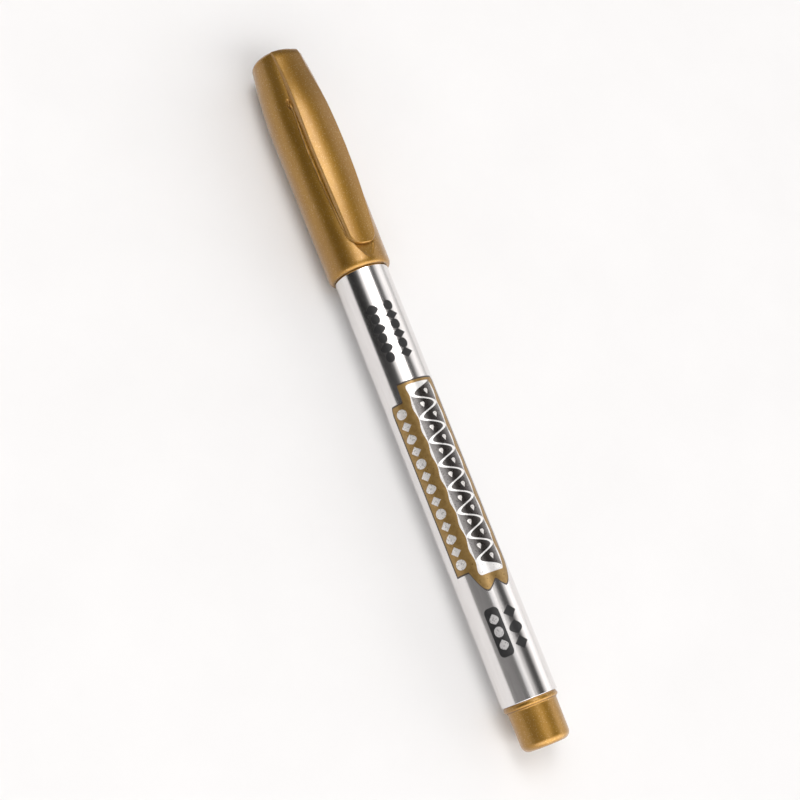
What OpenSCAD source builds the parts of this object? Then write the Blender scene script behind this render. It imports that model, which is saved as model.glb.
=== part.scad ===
// Calligraphy marker: a pump-valve paint marker with a metal barrel and a clip cap.
//
// Every piece is drawn standing on its tail: z runs from the tail's end face (0) to the
// flat top of the cap (overall_length), and +x is the side that carries the clip.
// lay_down() then lays the pen along -X, with the clip up and the cap touching z = 0.

/* [Overall] */
// Length with the cap on
overall_length = 139.5; // [135:0.5:150]
// Length of the tail plug that shows behind the barrel
plug_length = 8.5; // [8:0.1:11]
// Length of the cap
cap_length = 47.1; // [46.5:0.1:50]
// Clearance between a sliding piece and its bore, on the radius
slide_gap = 0.05; // [0.03:0.01:0.08]

/* [Barrel] */
// Outer diameter of the barrel tube
barrel_d = 10.5; // [10.4:0.1:11.2]
// Wall of the barrel tube
barrel_wall = 0.4; // [0.3:0.05:0.45]
// Length of the swaged neck that the cap slides over
neck_length = 7; // [6:0.5:8]
// How far the neck is set in, on the radius
neck_step = 0.2; // [0.16:0.02:0.25]

/* [Cap] */
// Outer diameter of the cap where it is widest
cap_d = 12.6; // [12.5:0.1:13]
// Outer diameter of the cap at its mouth
cap_mouth_d = 12.2; // [12.2:0.1:12.4]
// Diameter of the flat top, inside its rounded rim
cap_flat_d = 7.7; // [7:0.1:8.4]
// Length over which the cap rounds in towards its top
cap_taper_length = 16; // [14:0.5:18]
// Radius of the rim between the cap's side and its flat top
cap_rim_r = 1.4; // [0.8:0.1:1.5]

/* [Clip] */
// Width of the clip where it is widest
clip_width = 7.4; // [6.6:0.1:7.6]
// Width of the clip just above its rounded tip
clip_tip_width = 6; // [5.4:0.1:6.4]
// Distance from the cap's mouth to the clip's tip
clip_tip_offset = 3.8; // [3.8:0.2:6]
// Length of the clip's root, from the cap's top to where the arm comes free
clip_root_length = 14.5; // [13.5:0.25:16]
// Height of the clip's back over the pen's axis
clip_height = 7.6; // [7.5:0.05:7.9]
// Space between the clip's arm and the flat pad under it
clip_gap = 0.35; // [0.3:0.05:0.4]

/* [Nib and valve] */
// Diameter of the fibre nib
nib_d = 2.2; // [1.8:0.1:2.3]
// Length of nib that shows in front of the nose
nib_reach = 4.5; // [4:0.1:5]
// Distance that the nib goes in when it is pressed
nib_travel = 1.5; // [1:0.1:1.6]
// Thickness of the nib's writing edge
nib_edge = 0.35; // [0.25:0.05:0.6]
// Wire diameter of the valve spring
spring_wire = 0.36; // [0.3:0.02:0.4]
// Diameter of a mixing ball
ball_d = 4.5; // [3.5:0.1:4.6]

/* [Hidden] */
$fn = 96;

gold = [0.68, 0.50, 0.20];
silver = [0.80, 0.80, 0.82];
natural = [0.93, 0.93, 0.90];
felt = [0.96, 0.95, 0.92];
dark = [0.18, 0.18, 0.19];
steel = [0.70, 0.71, 0.73];

e = 0.01;                                  // overlap that keeps a cut clean
arc_steps = 8;                             // flats on a turned rounding

// Stations along the pen
mouth_z = overall_length - cap_length;     // the cap's mouth
neck_z = mouth_z - slide_gap;              // the barrel's shoulder
barrel_front = mouth_z + neck_length;      // front edge of the barrel tube
gasket_h = 0.3;                            // gasket between barrel and section
flange_z = barrel_front + gasket_h;        // rear face of the section's flange
land_z = flange_z + 13.9;                  // rear end of the section's sealing land
nose_z = land_z + 3.3;                     // joint between section and nose cone
nose_tip_z = nose_z + 4.5;                 // mouth of the nose cone
nib_tip_z = nose_tip_z + nib_reach;        // the writing edge

// Radii
barrel_r = barrel_d / 2;
bore_r = barrel_r - barrel_wall;
neck_r = barrel_r - neck_step;
neck_bore_r = neck_r - barrel_wall;
axis_height = cap_d / 2;
axial_gap = 0.05;                          // gap between faces that part when the pen works

// Tail plug
plug_r = barrel_r - 0.65;                  // the stub that the cap posts on
plug_end_round = 1.4;
plug_flange_h = 1.05;
plug_wall = 1.0;
spigot_depth = 7.2;                        // how far the plug reaches into the barrel
rib_h = 0.15;                              // height of a sealing rib
plug_front = plug_length + spigot_depth;

// Section
spigot_r = neck_bore_r - rib_h;
skirt_z = neck_z - 5.45;                   // rear end of the section's spigot
flange_r = neck_r - slide_gap;
grip_r = neck_r - 0.4;
grip_front_r = 4.05;
land_r = 3.4;
section_bore_r = 2.7;

// Nib and valve, from the front backwards
nib_r = nib_d / 2;
collar_r = 1.9;
nose_rear_z = nose_z - 6.9;                // the collar stops here
collar_h = 1.95;
wall_front_z = neck_z + 5.7;               // front of the wall between valve and absorber
wall_rear_z = neck_z + 4.05;
nib_rear_z = wall_front_z - 0.65;
cage_r = 4;
seat_h = 2.1;
seat_r = 1.5;
seat_z = wall_rear_z - seat_h;
stem_r = 0.8;
head_r = 2.6;
head_z = seat_z - 2.1;                     // rear face of the plunger's head
cage_z = skirt_z - 3;                      // rear face of the valve cage
cage_floor = 1.5;
cage_bore_r = 3.2;
guide_h = 2;                               // the cage's guide tube, over its floor
rod_end_z = cage_z + cage_floor + 0.2;     // rear end of the plunger's rod

// Valve spring
spring_r = 1.9;
spring_turns = 6;
spring_dead_turns = 1;                     // closed turns at each end
spring_z0 = cage_z + cage_floor + spring_wire / 2 + 0.02;
spring_z1 = head_z - spring_wire / 2 - 0.02;
spring_steps = 18;                         // rings a turn
spring_sides = 8;

// Mixing balls
ball_r = ball_d / 2;
ball_drop = bore_r - ball_r - axial_gap;   // they lie on the low side of the barrel
ball_pitch = ball_d + axial_gap;
ball_z = plug_front + ball_r + 0.1;

// Cap
cap_r = cap_d / 2;
cap_mouth_r = cap_mouth_d / 2;
cap_bore_r = neck_r + slide_gap;
liner_seat_r = cap_bore_r - 0.05;
liner_stop_z = overall_length - 10.5;      // the inner cap's flange stops here
cap_top_wall = 1.6;
cap_rim_top_r = cap_flat_d / 2;

// Inner cap
liner_mouth_z = land_z + axial_gap + 0.05;
liner_bore_r = land_r + slide_gap;
liner_chamber_r = 3;
liner_chamber_z = nose_z + 2;
liner_end_z = liner_stop_z + 5.1;
liner_wall = 0.9;
liner_flange_h = 2.5;

// Clip
clip_tip_z = mouth_z + clip_tip_offset;
clip_root_z = overall_length - clip_root_length;
clip_crest_z = overall_length - 20;        // where the back is highest
clip_slope = 1.6;                          // fall of the back towards the tip, degrees
clip_bend_r = 70;                          // curve of the back towards the root
clip_bend_angle = 24;
clip_crown_r = 9.6;                        // curve across the back
clip_tip_r = 2.4;                          // rounding of the tip's corners
clip_pad_x = cap_r - 0.45;                 // flat pad on the cap, under the arm
clip_under_x = clip_pad_x + clip_gap;      // flat underside of the arm
clip_bow_length = 2.7;                     // how far the pad runs on past the tip
clip_bow_r = 1;                            // rounding of the bow's end
clip_hinge_r = 0.3;                        // knuckle that the arm flexes about
clip_hinge_x = clip_under_x + 0.35;
clip_hinge_half = 2.2;
clip_parting = 0.1;                        // slit between the arm and its root
clip_bead_r = 1.6;
clip_bead_z = clip_tip_z + 3;
clip_bead_width = 3.4;

// Points of an arc about [x, y], from angle a0 to angle a1
function arc(x, y, r, a0, a1, steps = arc_steps) =
    [for (i = [0:steps]) [x + r * cos(a0 + (a1 - a0) * i / steps),
                          y + r * sin(a0 + (a1 - a0) * i / steps)]];

// Lays a standing piece down, clip side up, with the cap's side on z = 0
module lay_down() {
    translate([overall_length / 2, 0, axis_height]) rotate([0, -90, 0]) children();
}

// A ring between two stations
module ring(r_out, r_in, z0, z1) {
    rotate_extrude() translate([r_in, z0]) square([r_out - r_in, z1 - z0]);
}

// A straight rod between two stations
module rod(r, z0, z1) {
    translate([0, 0, z0]) cylinder(r = r, h = z1 - z0);
}

// A closed outline turned about the pen's axis
module turned(points) {
    rotate_extrude() polygon(points);
}

// Sealing ribs round a spigot
module sealing_ribs(r, z0, pitch, count) {
    for (i = [0:count - 1])
        translate([0, 0, z0 + i * pitch])
            turned([[r - 0.4, -0.4], [r, -0.3], [r + rib_h, -0.08], [r + rib_h, 0.08],
                    [r, 0.3], [r - 0.4, 0.4]]);
}

// Drawn aluminium tube, with a neck swaged in for the cap
module barrel_tube() {
    color(silver) turned([
        [bore_r, plug_length], [barrel_r, plug_length], [barrel_r, neck_z - neck_step],
        [neck_r, neck_z], [neck_r, barrel_front], [neck_bore_r, barrel_front],
        [neck_bore_r, neck_z - 0.2], [bore_r, neck_z - 0.2 - 2 * neck_step]]);
}

// Moulded plug that closes the tail: a stub, a flange and a ribbed spigot
module tail_plug() {
    flange_z0 = plug_length - plug_flange_h;
    color(gold) union() {
        turned(concat(
            [[0, 0]],
            arc(plug_r - plug_end_round, plug_end_round, plug_end_round, -90, 0),
            [[plug_r, flange_z0 - 0.25]],
            arc(plug_r + 0.25, flange_z0 - 0.25, 0.25, 180, 90, 4),
            arc(barrel_r - 0.35, flange_z0 + 0.3, 0.3, -90, -10, 4),
            [[barrel_r, plug_length], [bore_r - rib_h, plug_length],
             [bore_r - rib_h, plug_front - 0.8], [bore_r - 0.6, plug_front],
             [plug_r - plug_wall + 0.2, plug_front], [plug_r - plug_wall, plug_length],
             [plug_r - plug_wall - 0.2, plug_wall + 0.8],
             [plug_r - plug_wall - 1, plug_wall], [0, plug_wall]]));
        sealing_ribs(bore_r - rib_h, plug_length + 1.6, 1.8, 3);
    }
}

// Front section: spigot and valve bore behind, grip and sealing land in front
module grip_section() {
    bead_z = flange_z + 3.3;
    color(gold) union() {
        turned(concat(
            [[cage_r, skirt_z], [spigot_r - 0.3, skirt_z], [spigot_r, skirt_z + 0.5],
             [spigot_r, flange_z], [flange_r - 0.1, flange_z], [flange_r, flange_z + 0.1],
             [flange_r, flange_z + 1.1], [flange_r - 0.1, flange_z + 1.2],
             [grip_r + 0.05, flange_z + 1.35]],
            arc(grip_r - 0.35, bead_z, 0.6, -45, 45),
            [[grip_r, flange_z + 4.6]],
            arc(grip_front_r - 0.4, land_z - 0.6, 0.4, 5, 90),
            [[land_r, land_z - 0.2], [land_r, nose_z], [section_bore_r, nose_z],
             [section_bore_r, wall_front_z], [nib_r + 0.25, wall_front_z],
             [nib_r + 0.25, wall_rear_z], [cage_r, wall_rear_z]]));
        sealing_ribs(spigot_r, neck_z + 1.5, 2, 3);
    }
}

// Flat gasket squeezed between the barrel's edge and the section's flange
module section_gasket() {
    color(natural) ring(neck_r - 0.05, spigot_r, barrel_front, flange_z);
}

// Nose piece that guides the nib and snaps into the section
module nose_cone() {
    guide_r = nib_r + slide_gap;
    color(natural) turned(concat(
        [[guide_r + 0.2, nose_rear_z], [section_bore_r - 0.3, nose_rear_z],
         [section_bore_r, nose_rear_z + 0.5], [section_bore_r, nose_z], [land_r - 0.1, nose_z]],
        arc(land_r - 1.5, nose_z + 0.25, 1.5, 0, 40),
        arc(guide_r + 0.1, nose_tip_z - 0.45, 0.45, 30, 90, 6),
        [[guide_r, nose_tip_z - 0.1], [guide_r, nose_rear_z + 0.2]]));
}

// Porous sleeve round the nib, which holds paint and stops drips
module ink_absorber() {
    color(felt) ring(section_bore_r, nib_r + slide_gap, wall_front_z, nose_rear_z - collar_h
        - nib_travel - 0.3);
}

// Cup behind the valve seat: it holds the spring, guides the plunger and lets paint in
module valve_cage() {
    ports = 6;
    color(natural) difference() {
        union() {
            turned([[stem_r + slide_gap, cage_z], [cage_r + 0.3, cage_z], [cage_r + 0.6, cage_z + 0.4],
                    [cage_r + 0.6, skirt_z], [cage_r, skirt_z], [cage_r, seat_z],
                    [cage_bore_r, seat_z], [cage_bore_r, cage_z + cage_floor],
                    [stem_r + slide_gap, cage_z + cage_floor]]);
            ring(stem_r + slide_gap + 0.4, stem_r + slide_gap, cage_z + cage_floor - e,
                 cage_z + cage_floor + guide_h);
        }
        for (i = [0:ports - 1])
            rotate([0, 0, 360 / ports * (i + 0.5)])
                translate([(cage_bore_r + stem_r) / 2 + 0.5, 0, 0])
                    rod(0.6, cage_z - 1, cage_z + cage_floor + 1);
    }
}

// Elastomer seat that the plunger closes
module valve_seat() {
    color(dark) ring(cage_r, seat_r, seat_z, wall_rear_z);
}

// Valve plunger: stem to the nib, sealing cone, and a guide rod inside the spring
module valve_plunger() {
    cone_z = seat_z + seat_r - axial_gap;  // the 45 degree cone's radius plus its station
    color(natural) turned([
        [0, rod_end_z], [stem_r - 0.15, rod_end_z], [stem_r, rod_end_z + 0.15],
        [stem_r, head_z], [head_r, head_z], [head_r, cone_z - head_r],
        [stem_r, cone_z - stem_r], [stem_r, nib_rear_z - 0.02], [0, nib_rear_z - 0.02]]);
}

// Height of the spring's wire after so many turns, closed at both ends
function spring_height(turn) =
    let (live = spring_turns - 2 * spring_dead_turns,
         dead_rise = spring_wire * spring_dead_turns,
         live_rise = spring_z1 - spring_z0 - 2 * dead_rise)
    turn < spring_dead_turns ? spring_z0 + spring_wire * turn
    : turn > spring_turns - spring_dead_turns ? spring_z1 - spring_wire * (spring_turns - turn)
    : spring_z0 + dead_rise + live_rise * (turn - spring_dead_turns) / live;

// Coil spring that holds the valve shut
module valve_spring() {
    rings = spring_turns * spring_steps;
    wire_r = spring_wire / 2 - 0.004;
    points = [for (i = [0:rings]) let (turn = i / spring_steps) for (k = [0:spring_sides - 1])
        let (a = 360 * k / spring_sides, r = spring_r + wire_r * cos(a))
        [r * cos(360 * turn), r * sin(360 * turn), spring_height(turn) + wire_r * sin(a)]];
    skin = [for (i = [0:rings - 1], k = [0:spring_sides - 1])
        let (n = (k + 1) % spring_sides, b = i * spring_sides, t = b + spring_sides)
        [b + k, b + n, t + n, t + k]];
    first_end = [for (k = [spring_sides - 1:-1:0]) k];
    last_end = [for (k = [0:spring_sides - 1]) rings * spring_sides + k];
    color(steel) polyhedron(points = points, faces = concat([first_end], skin, [last_end]));
}

// Fibre nib with a chisel edge
module nib() {
    wedge_h = 2.6;
    color(felt) intersection() {
        rod(nib_r, nib_rear_z, nib_tip_z);
        rotate([90, 0, 0]) translate([0, 0, -nib_d]) linear_extrude(2 * nib_d)
            polygon([[-nib_d, nib_rear_z - 1], [nib_d, nib_rear_z - 1],
                     [nib_r + 0.2, nib_tip_z - wedge_h], [nib_edge / 2, nib_tip_z - 0.1],
                     [nib_edge / 2 - 0.1, nib_tip_z], [-nib_edge / 2 + 0.1, nib_tip_z],
                     [-nib_edge / 2, nib_tip_z - 0.1], [-nib_r - 0.2, nib_tip_z - wedge_h]]);
    }
}

// Collar crimped on the nib: it stops against the nose cone and lifts the nib with it
module nib_collar() {
    front = nose_rear_z - axial_gap;
    color(natural) turned([
        [nib_r, front - collar_h], [collar_r - 0.2, front - collar_h],
        [collar_r, front - collar_h + 0.2], [collar_r, front - 0.2], [collar_r - 0.2, front],
        [nib_r, front]]);
}

// One steel ball that stirs the paint; place 0 is the rear one
module mixing_ball(place) {
    color(steel) translate([-ball_drop, 0, ball_z + place * ball_pitch]) sphere(r = ball_r);
}

// Radius of the cap's side at a distance below its top
function cap_side_r(below) =
    let (rim_r = cap_rim_top_r + 0.95 * cap_rim_r, share = (cap_taper_length - below) /
         (cap_taper_length - cap_rim_r))
    below > cap_taper_length ? cap_r : cap_r - (cap_r - rim_r) * share * share;

// The cap's turned outside, closed along the axis
module cap_outside() {
    steps = 12;
    mouth_round = 0.45;
    taper = [for (i = [0:steps]) let (b = cap_taper_length + (cap_rim_r - cap_taper_length) * i / steps)
        [cap_side_r(b), overall_length - b]];
    turned(concat(
        [[0, mouth_z], [cap_mouth_r - mouth_round, mouth_z]],
        arc(cap_mouth_r - mouth_round, mouth_z + mouth_round, mouth_round, -60, 0, 5),
        taper,
        arc(cap_rim_top_r, overall_length - cap_rim_r, cap_rim_r, 20, 90),
        [[0, overall_length]]));
}

// The hollow inside the cap: bore, seat for the inner cap and the space above it
module cap_hollow() {
    top = overall_length - cap_top_wall;
    turned([[0, mouth_z - 1], [cap_bore_r, mouth_z - 1], [cap_bore_r, liner_stop_z - 4.5],
            [liner_seat_r, liner_stop_z - 4], [liner_seat_r, liner_stop_z],
            [4.5, liner_stop_z], [4.1, top - 0.9], [3.6, top], [0, top]]);
}

// Half width of the clip at a station
function clip_half(z) =
    let (wide_z = clip_tip_z + 20, share = (z - wide_z) / (wide_z - clip_tip_z),
         loss = (clip_width - clip_tip_width) / 2)
    clip_width / 2 - loss * share * share;

// One side of the clip's plan, from a station up to the cap's top
function clip_side(z0) =
    [for (i = [0:10]) let (z = z0 + (overall_length - z0) * i / 10) [clip_half(z), z]];

// A plan given by its right-hand side, mirrored and pushed out along x
module clip_prism(side, x0, x1) {
    other = [for (i = [len(side) - 1:-1:0]) [-side[i][0], side[i][1]]];
    translate([x0, 0, 0]) rotate([0, 90, 0]) rotate([0, 0, 90])
        linear_extrude(x1 - x0) polygon(concat(side, other));
}

// Plan of the clip and its root, with rounded corners at the tip
module clip_plan() {
    z0 = clip_tip_z + clip_tip_r;
    corner = arc(clip_half(z0) - clip_tip_r, z0, clip_tip_r, -90, 0);
    clip_prism(concat(corner, clip_side(z0)), 0, 12);
}

// Plan of the pad under the clip, which runs on past the tip like a ship's bow
module clip_pad_plan(x0, x1) {
    end_z = clip_tip_z - clip_bow_length;
    bow = arc(0, end_z + clip_bow_r, clip_bow_r, -90, -20, 4);
    clip_prism(concat(bow, clip_side(clip_tip_z + clip_tip_r)), x0, x1);
}

// Section of the clip's crowned back, at the bend's radius
module clip_back_section() {
    depth = 3.2;
    intersection() {
        translate([clip_bend_r - depth, -6]) square([depth + 1, 12]);
        translate([clip_bend_r - clip_crown_r, 0]) circle(r = clip_crown_r);
    }
}

// The clip's crowned back: straight from the tip, then bent down towards the cap's top
module clip_back() {
    translate([clip_height - clip_bend_r, 0, clip_crest_z]) rotate([90, 0, 0])
        rotate([0, 0, -clip_slope]) {
            rotate_extrude(angle = clip_bend_angle + clip_slope, $fn = 360) clip_back_section();
            rotate([90, 0, 0]) linear_extrude(30) clip_back_section();
        }
}

// The stretch of the clip between two stations
module clip_stretch(z0, z1) {
    intersection() {
        clip_back();
        clip_plan();
        translate([0, -8, z0]) cube([12, 16, z1 - z0]);
    }
}

// The knuckle line, with a clearance round it
module clip_knuckle(extra = 0) {
    half = clip_hinge_half + extra;
    translate([clip_hinge_x, half, clip_root_z]) rotate([90, 0, 0])
        cylinder(r = clip_hinge_r + extra, h = 2 * half);
}

// Cap shell, with the clip's root and the flat pad under its arm
module cap_shell() {
    root_end_z = overall_length - 0.35;
    color(gold) difference() {
        union() {
            difference() {
                cap_outside();
                intersection() {
                    clip_pad_plan(clip_pad_x, 12);
                    rod(12, mouth_z, clip_root_z + clip_parting);
                }
            }
            intersection() {
                clip_pad_plan(3, clip_pad_x);
                rod(12, mouth_z, clip_root_z + clip_parting);
            }
            clip_stretch(clip_root_z + clip_parting, root_end_z);
        }
        cap_hollow();
        clip_knuckle(slide_gap);
    }
}

// Soft inner cap that seals on the section's land and keeps the nib wet
module inner_cap() {
    outer = liner_bore_r + liner_wall;
    color(natural) turned([
        [liner_bore_r, liner_mouth_z], [outer, liner_mouth_z],
        [outer, liner_stop_z - liner_flange_h], [liner_seat_r, liner_stop_z - liner_flange_h],
        [liner_seat_r, liner_stop_z], [liner_chamber_r + 0.9, liner_stop_z],
        [liner_chamber_r + 0.9, liner_end_z - 0.6], [liner_chamber_r + 0.3, liner_end_z],
        [0, liner_end_z], [0, liner_end_z - 0.9], [liner_chamber_r, liner_end_z - 0.9],
        [liner_chamber_r, liner_chamber_z], [liner_bore_r, liner_chamber_z - 1]]);
}

// Sprung arm of the clip, with a bead under its tip
module pocket_clip() {
    bead_x = clip_pad_x + 0.06 + clip_bead_r;
    color(gold) union() {
        difference() {
            clip_stretch(clip_tip_z, clip_root_z);
            difference() {
                translate([0, -8, clip_tip_z - 1])
                    cube([clip_under_x, 16, clip_root_z - clip_tip_z + 2]);
                translate([bead_x, clip_bead_width / 2, clip_bead_z]) rotate([90, 0, 0])
                    cylinder(r = clip_bead_r, h = clip_bead_width);
            }
        }
        clip_knuckle();
    }
}

lay_down() barrel_tube();
lay_down() tail_plug();
lay_down() grip_section();
lay_down() section_gasket();
lay_down() nose_cone();
lay_down() ink_absorber();
lay_down() valve_cage();
lay_down() valve_seat();
lay_down() valve_spring();
lay_down() nib();
lay_down() nib_collar();
lay_down() valve_plunger();
lay_down() mixing_ball(0);  // mixing_ball_1
lay_down() mixing_ball(1);  // mixing_ball_2
lay_down() cap_shell();
lay_down() inner_cap();
lay_down() pocket_clip();
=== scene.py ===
"""Calligraphy marker: the looks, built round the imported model.

Most shapes are written in pen coordinates, in millimetres: `along` runs from the tail's end
face (0) to the cap's flat top, `up` is the clip's side and `side` is across. place() turns
them into the frame, where the pen lies along X with its clip towards +Z.
"""
import math

import bmesh
import bpy
from mathutils import Matrix, Vector


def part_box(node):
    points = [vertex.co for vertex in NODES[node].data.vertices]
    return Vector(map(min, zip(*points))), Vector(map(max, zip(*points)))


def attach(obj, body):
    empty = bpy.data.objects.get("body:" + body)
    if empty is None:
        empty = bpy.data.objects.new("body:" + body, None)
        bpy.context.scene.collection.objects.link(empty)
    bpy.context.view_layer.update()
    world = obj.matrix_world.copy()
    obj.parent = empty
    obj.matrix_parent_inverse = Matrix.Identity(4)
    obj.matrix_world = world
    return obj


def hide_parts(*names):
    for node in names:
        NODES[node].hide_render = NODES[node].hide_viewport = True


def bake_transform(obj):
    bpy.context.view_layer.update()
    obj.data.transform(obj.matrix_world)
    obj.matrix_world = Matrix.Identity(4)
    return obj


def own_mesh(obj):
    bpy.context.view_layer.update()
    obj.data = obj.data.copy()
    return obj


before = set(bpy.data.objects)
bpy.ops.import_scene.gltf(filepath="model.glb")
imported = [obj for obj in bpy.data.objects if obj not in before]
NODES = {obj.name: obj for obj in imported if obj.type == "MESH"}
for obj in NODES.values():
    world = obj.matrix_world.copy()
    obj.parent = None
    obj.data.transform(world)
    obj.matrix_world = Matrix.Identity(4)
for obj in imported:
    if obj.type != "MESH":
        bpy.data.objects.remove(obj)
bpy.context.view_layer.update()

MM = 0.001


# ---------------------------------------------------------------- places from the frame

def node_along(name):
    """(rear, front) stations of a CAD node, in mm from the tail."""
    low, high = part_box(name)
    return (TAIL_X - high.x) / MM, (TAIL_X - low.x) / MM


TAIL_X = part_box("tail_plug")[1].x
LENGTH = (TAIL_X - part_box("cap_shell")[0].x) / MM
AXIS_Z = (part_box("barrel_tube")[0].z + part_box("barrel_tube")[1].z) / 2
BARREL_R = (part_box("barrel_tube")[1].z - AXIS_Z) / MM
BARREL_REAR, BARREL_FRONT = node_along("barrel_tube")
MOUTH = node_along("cap_shell")[0]
CAP_R = (AXIS_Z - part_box("cap_shell")[0].z) / MM
CLIP_TIP = node_along("pocket_clip")[0]
CLIP_CREST_UP = (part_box("pocket_clip")[1].z - AXIS_Z) / MM
CLIP_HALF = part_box("pocket_clip")[1].y / MM


def place(along, side, up):
    """A point in pen coordinates, in mm, as a point in the frame, in metres."""
    return (TAIL_X - along * MM, side * MM, AXIS_Z + up * MM)


def polar(along, radius, angle):
    """A point at an angle from the clip's side, turning towards +side."""
    return place(along, radius * math.sin(angle), radius * math.cos(angle))


def smooth(t):
    """Smooth step from 0 to 1."""
    t = min(max(t, 0.0), 1.0)
    return t * t * (3 - 2 * t)


def mix(a, b, t):
    """The value a share t of the way from a to b."""
    return a + (b - a) * t


def round_over(t, radius):
    """How far a rounded end has drawn in where it is still t short of its full height."""
    return radius - math.sqrt(max(radius ** 2 - (radius - t) ** 2, 0))


def curve_through(points, x):
    """Height at x of a smooth curve through points, whose x rises."""
    if x <= points[0][0]:
        return points[0][1]
    if x >= points[-1][0]:
        return points[-1][1]
    last = len(points) - 1

    def slope(i):
        lo, hi = max(i - 1, 0), min(i + 1, last)
        return (points[hi][1] - points[lo][1]) / (points[hi][0] - points[lo][0])

    i = next(k for k in range(last) if x <= points[k + 1][0])
    (x0, y0), (x1, y1) = points[i], points[i + 1]
    span = x1 - x0
    t = (x - x0) / span
    return ((1 + 2 * t) * (1 - t) ** 2 * y0 + t * (1 - t) ** 2 * span * slope(i)
            + t * t * (3 - 2 * t) * y1 + t * t * (t - 1) * span * slope(i + 1))


# ---------------------------------------------------------------- mesh helpers

def finish_mesh(name, mesh, sharp_degrees=35):
    """Links a mesh as an object, smooth but for its sharp edges."""
    mesh.validate()
    obj = bpy.data.objects.new(name, mesh)
    bpy.context.scene.collection.objects.link(obj)
    mesh.shade_smooth()
    mesh.set_sharp_from_angle(angle=math.radians(sharp_degrees))
    return obj


def outward(mesh):
    """Turns every face of a closed mesh outwards."""
    bm = bmesh.new()
    bm.from_mesh(mesh)
    bmesh.ops.recalc_face_normals(bm, faces=bm.faces)
    bm.to_mesh(mesh)
    bm.free()


def skin(verts, faces, rows, closed_rows=False):
    """Adds a skin over rows of points to verts and faces. Each row is a closed loop; the two
    end rows are capped, or joined where closed_rows is set. A row of one point is a pole."""
    index = []
    for row in rows:
        index.append(list(range(len(verts), len(verts) + len(row))))
        verts.extend(row)
    pairs = list(zip(index, index[1:]))
    if closed_rows:
        pairs.append((index[-1], index[0]))
    for a, b in pairs:
        n = max(len(a), len(b))
        for i in range(n):
            j = (i + 1) % n
            if len(a) == 1:
                faces.append((a[0], b[j], b[i]))
            elif len(b) == 1:
                faces.append((a[i], a[j], b[0]))
            else:
                faces.append((a[i], a[j], b[j], b[i]))
    if not closed_rows:
        faces.extend(tuple(row) for row in (index[0], index[-1]) if len(row) > 2)


def grid_mesh(name, *grids, closed_rows=False, sharp_degrees=35):
    """One object with a closed skin over each grid of rows."""
    verts, faces = [], []
    for rows in grids:
        skin(verts, faces, rows, closed_rows)
    mesh = bpy.data.meshes.new(name)
    mesh.from_pydata(verts, [], faces)
    outward(mesh)
    return finish_mesh(name, mesh, sharp_degrees)


def fillet(along, radius, size, start, end, steps=7):
    """Points of an arc of a circle of this size, whose centre is at (along, radius); angles in
    degrees, 0 pointing out along the radius and 90 pointing to the front."""
    out = []
    for i in range(steps + 1):
        a = math.radians(start + (end - start) * i / steps)
        out.append((along + size * math.sin(a), radius + size * math.cos(a)))
    return out


def on_axis(radius):
    """True for a radius so small that its ring is a single point."""
    return radius < 1e-6


def turned(name, outline, segments=192, sharp_degrees=35):
    """A piece turned about the pen's axis from a closed outline of (along, radius). A radius
    of 0 at both ends of the outline closes it on the axis."""
    solid = on_axis(outline[0][1]) and on_axis(outline[-1][1])
    rows = []
    for along, radius in outline:
        if on_axis(radius):
            rows.append([place(along, 0, 0)])
        else:
            rows.append([polar(along, radius, 2 * math.pi * i / segments)
                         for i in range(segments)])
    return grid_mesh(name, rows, closed_rows=not solid, sharp_degrees=sharp_degrees)


# ---------------------------------------------------------------- material helpers

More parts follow.
